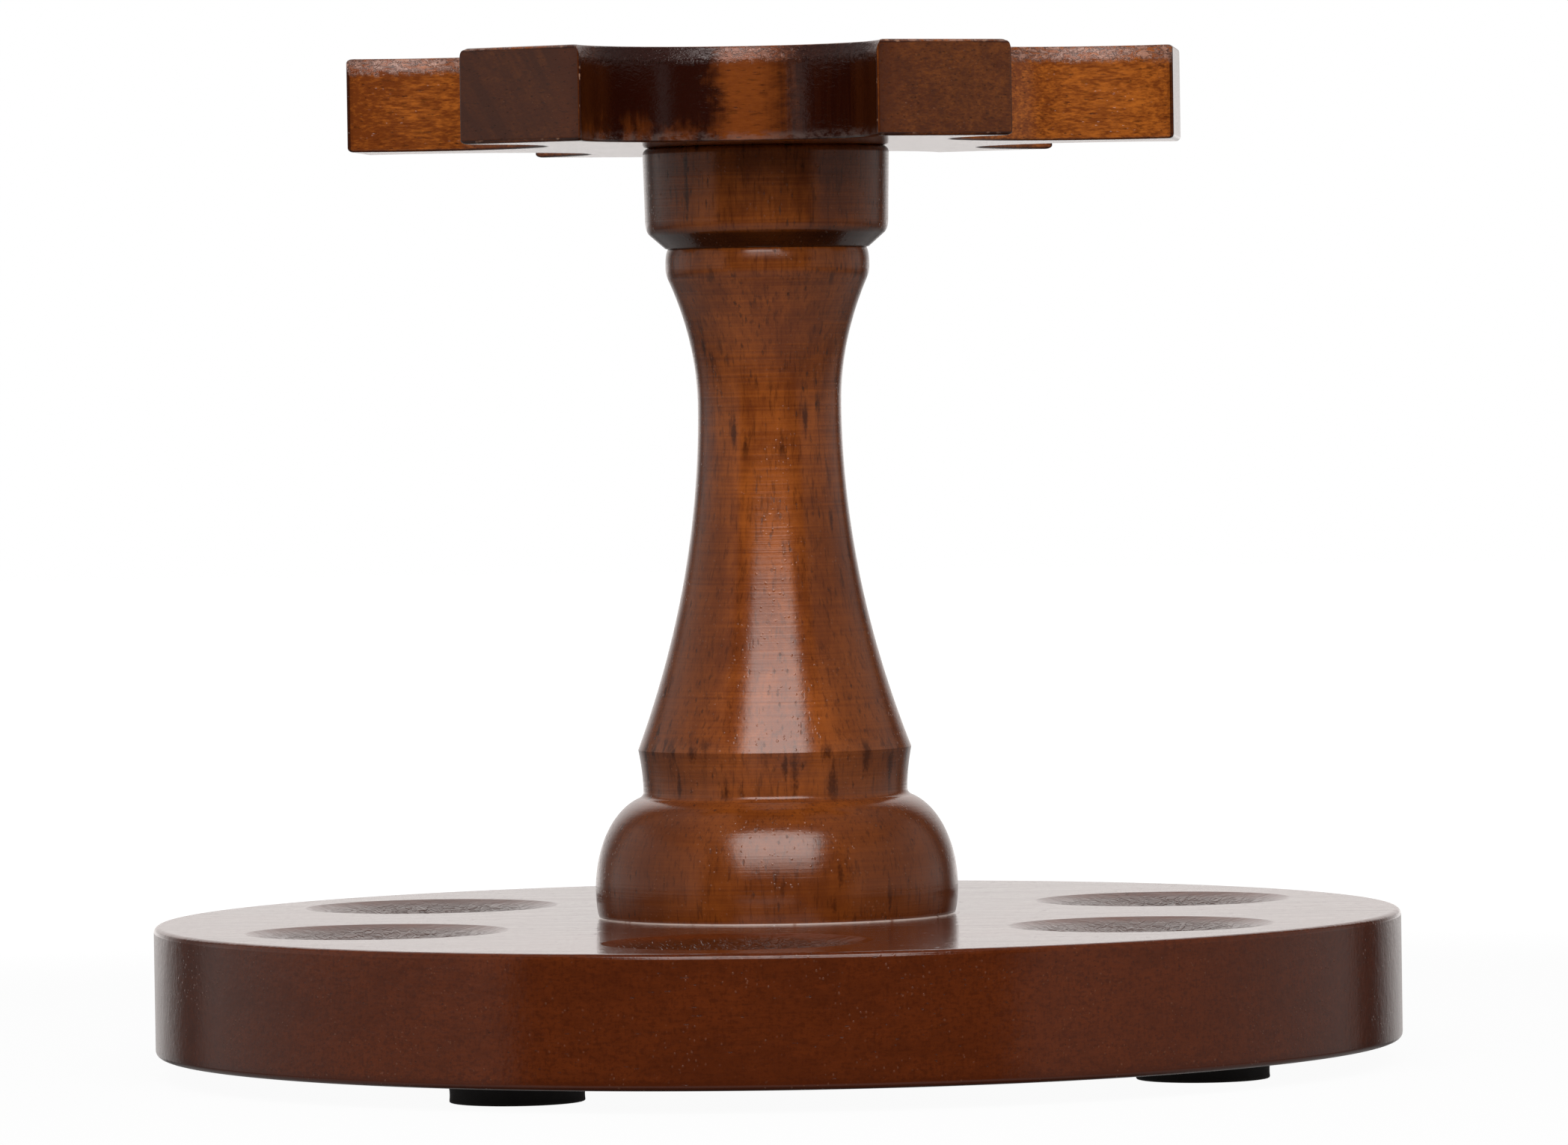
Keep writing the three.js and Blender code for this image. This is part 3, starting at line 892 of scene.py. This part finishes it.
def rubber_finish():
    material, nodes = finish_nodes("black_rubber")
    place = place_in_mm(nodes)
    dust = place.noise((0.8, 0.8, 0.8), detail=4, roughness=0.7)
    grain = place.noise((5, 5, 5), detail=2)
    worn = axis_of(place, "Z").fade(0.7, 0.0) * dust
    rubber = nodes.colour(rubber_black).tint(rubber_worn, dust.fade(0.5, 0.75) * 0.5 + worn * 0.4)
    lacquered(nodes, rubber, 0.62 + dust * 0.2, grain * 10)
    return material


def adhesive_finish():
    material, nodes = finish_nodes("clear_adhesive")
    place = place_in_mm(nodes)
    bubbles = place.noise((1.6, 1.6, 1.6), detail=3)
    film = nodes.colour(adhesive_film).tint(adhesive_edge, bubbles.fade(0.42, 0.62))
    lacquered(nodes, film, 0.35 + bubbles * 0.2, bubbles * 12)
    return material


foot_pads = ring_of_copies(one_pad(), "rubber_foot_pads", pad_count, first_pad_angle,
                           crease=40, material=rubber_finish())
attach(foot_pads, "root")
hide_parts("foot_pad_1", "foot_pad_2", "foot_pad_3", "foot_pad_4")
refinish(adhesive_finish(), "foot_adhesive_1", "foot_adhesive_2", "foot_adhesive_3", "foot_adhesive_4")


# Studio. A plain white floor that keeps the stand's shadow, one large soft light above the camera,
# and soft light from all round. The camera stands where the photograph was taken from.
floor_white = 1.12
floor_near_share = 0.85
floor_paper = (0.22, 0.22, 0.22, 1)
lamp_width, lamp_depth = 1.00, 0.84
lamp_watts = 10.4
lamp_distance = 0.9
lamp_rise = 36
lamp_aim_height = 0.06
softbox_rise = 42
softbox_glow = 5.8
room_light = 0.38
room_dark = 0.015
gloss_warmth = (1, 0.955, 0.935, 1)


def studio_floor():
    material, nodes = finish_nodes("white_floor")
    place = nodes.node("ShaderNodeTexCoord", {}, {}, "Object")
    far = place.vector("LENGTH", output="Value").fade(0.20, 0.55)
    rays = nodes.node("ShaderNodeLightPath", {}, {}, "Is Camera Ray")
    for other in ("Is Glossy Ray", "Is Transmission Ray"):
        rays = rays.larger(nodes.node("ShaderNodeLightPath", {}, {}, other))
    white = nodes.node("ShaderNodeEmission", {}, {"Color": (1, 1, 1, 1), "Strength": floor_white})
    paper = nodes.node("ShaderNodeBsdfDiffuse", {}, {"Color": floor_paper})
    glow = rays * (floor_near_share + far * (1 - floor_near_share))
    surface = nodes.node("ShaderNodeMixShader", {}, {0: glow, 1: paper, 2: white})
    nodes.node("ShaderNodeOutputMaterial", {}, {"Surface": surface})
    mesh = bpy.data.meshes.new("floor")
    mesh.from_pydata([(-3, -3, 0), (3, -3, 0), (3, 3, 0), (-3, 3, 0)], [], [(0, 1, 2, 3)])
    mesh.materials.append(material)
    floor = put_in_scene("floor", mesh)
    floor.visible_glossy = False
    return floor


studio_floor()

# The camera stood 5.25 degrees to the right of the middle of the front notch, 1.27 m away.
shot_turn = math.radians(5.25)
shot_yaw, shot_pitch, shot_roll = math.radians(0.182), math.radians(-1.251), math.radians(-0.879)
shot_place = Vector((-0.00246, -1.2704, 0.0931))


def studio_light():
    """A softbox straight over the camera. Its reflection is in the world below."""
    lamp = bpy.data.lights.new("softbox", "AREA")
    lamp.shape = "RECTANGLE"
    lamp.size, lamp.size_y = lamp_width, lamp_depth
    lamp.energy = lamp_watts
    light = put_in_scene("softbox", lamp)
    rise = math.radians(lamp_rise)
    away = Vector((math.sin(shot_turn) * math.cos(rise), -math.cos(shot_turn) * math.cos(rise),
                   math.sin(rise)))
    light.location = Vector((0, 0, lamp_aim_height)) + away * lamp_distance
    light.rotation_euler = (-away).to_track_quat("-Z", "Y").to_euler()
    light.visible_glossy = False


def studio_world():
    """White for the camera. A gloss sees the softbox over the camera, dimmer towards its lower edge,
    the dark room under it, grey walls at both sides, the white backdrop behind the stand, a dim
    ceiling, and the table below."""
    world = bpy.data.worlds.new("studio")
    world.use_nodes = True
    world.node_tree.nodes.clear()
    nodes = Wire(world.node_tree)
    way = nodes.node("ShaderNodeTexCoord", {}, {}, "Generated")
    rise = math.radians(softbox_rise)
    camera_x, camera_y = math.sin(shot_turn), -math.cos(shot_turn)
    ahead = way.along((camera_x * math.cos(rise), camera_y * math.cos(rise), math.sin(rise)))
    above = way.along((-camera_x * math.sin(rise), -camera_y * math.sin(rise), math.cos(rise)))
    beside = way.along((-camera_y, camera_x, 0))
    across = beside / ahead
    upwards = above / ahead
    softbox = (upwards.fade(-0.60, -0.08) * upwards.fade(0.27, 0.25) * across.fade(-0.56, -0.34)
               * across.fade(0.54, 0.38) * ahead.fade(0.19, 0.21))

    # behind is 1 straight behind the stand and -1 towards the camera, and height is how far a way rises.
    level = way.scaled((1, 1, 0)).vector("NORMALIZE")
    behind = level.along((-camera_x, -camera_y, 0))
    height = axis_of(way, "Z")
    right = beside.fade(0.0, 0.4)
    above_table = height.fade(-0.22, -0.10)
    backdrop = behind.fade(0.78, 0.97) * height.fade(0.88, 0.67) * (
        0.58 + height.fade(-0.062, -0.040) * 0.64 - height.fade(-0.01, 0.04) * 0.42
        + height.fade(0.04, 0.40) * 0.26)
    dip = behind.fade(0.58, 0.74) * (0.23 + right * 0.05)
    past_camera = (behind + right * height.fade(0.03, -0.05) * 0.08).fade(-0.70, -0.60)
    walls = past_camera * (0.22 + behind.fade(-0.3, 0.4) * 0.09 - dip)
    walls = walls * (0.4 + height.fade(0.62, 0.42) * 0.6)
    walls = walls * (1 - right * 0.04 + height.fade(-0.06, 0.0) * (
        0.40 - right * 0.36 + height.fade(0.20, 0.04) * 0.38))
    ceiling = height.fade(0.5, 0.8) * 0.08
    table = height.fade(-0.08, -0.42) * (0.05 + height.fade(-0.85, -0.70) * 0.27)
    seen_by_gloss = (room_dark + softbox * softbox_glow + (backdrop + walls) * above_table
                     + ceiling + table)
    glossy = nodes.node("ShaderNodeLightPath", {}, {}, "Is Glossy Ray")
    camera = nodes.node("ShaderNodeLightPath", {}, {}, "Is Camera Ray")
    through = nodes.node("ShaderNodeLightPath", {}, {}, "Is Transmission Ray")
    plain = room_light + (seen_by_gloss - room_light) * glossy
    white = camera.larger(through)
    strength = plain + (1 - plain) * white
    light = nodes.colour((1, 1, 1, 1)).tint(gloss_warmth, glossy)
    sky = nodes.node("ShaderNodeBackground", {}, {"Color": light, "Strength": strength})
    nodes.node("ShaderNodeOutputWorld", {}, {"Surface": sky})
    bpy.context.scene.world = world


def studio_camera():
    lens = bpy.data.cameras.new("photograph")
    lens.sensor_width = 36
    lens.lens = 220.3
    lens.clip_start, lens.clip_end = 0.05, 20
    camera = put_in_scene("photograph", lens)
    ahead = Vector((math.sin(shot_yaw) * math.cos(shot_pitch), math.cos(shot_yaw) * math.cos(shot_pitch),
                    math.sin(shot_pitch)))
    right = Vector((math.cos(shot_yaw), -math.sin(shot_yaw), 0))
    up = right.cross(ahead)
    rolled = math.cos(shot_roll) * right + math.sin(shot_roll) * up
    above = math.cos(shot_roll) * up - math.sin(shot_roll) * right
    turn = Matrix.Rotation(shot_turn, 3, "Z")
    axes = Matrix((turn @ rolled, turn @ above, turn @ -ahead)).transposed()
    camera.matrix_world = Matrix.Translation(turn @ shot_place) @ axes.to_4x4()
    bpy.context.scene.camera = camera


studio_light()
studio_world()
studio_camera()
bpy.context.scene.view_settings.view_transform = "Standard"
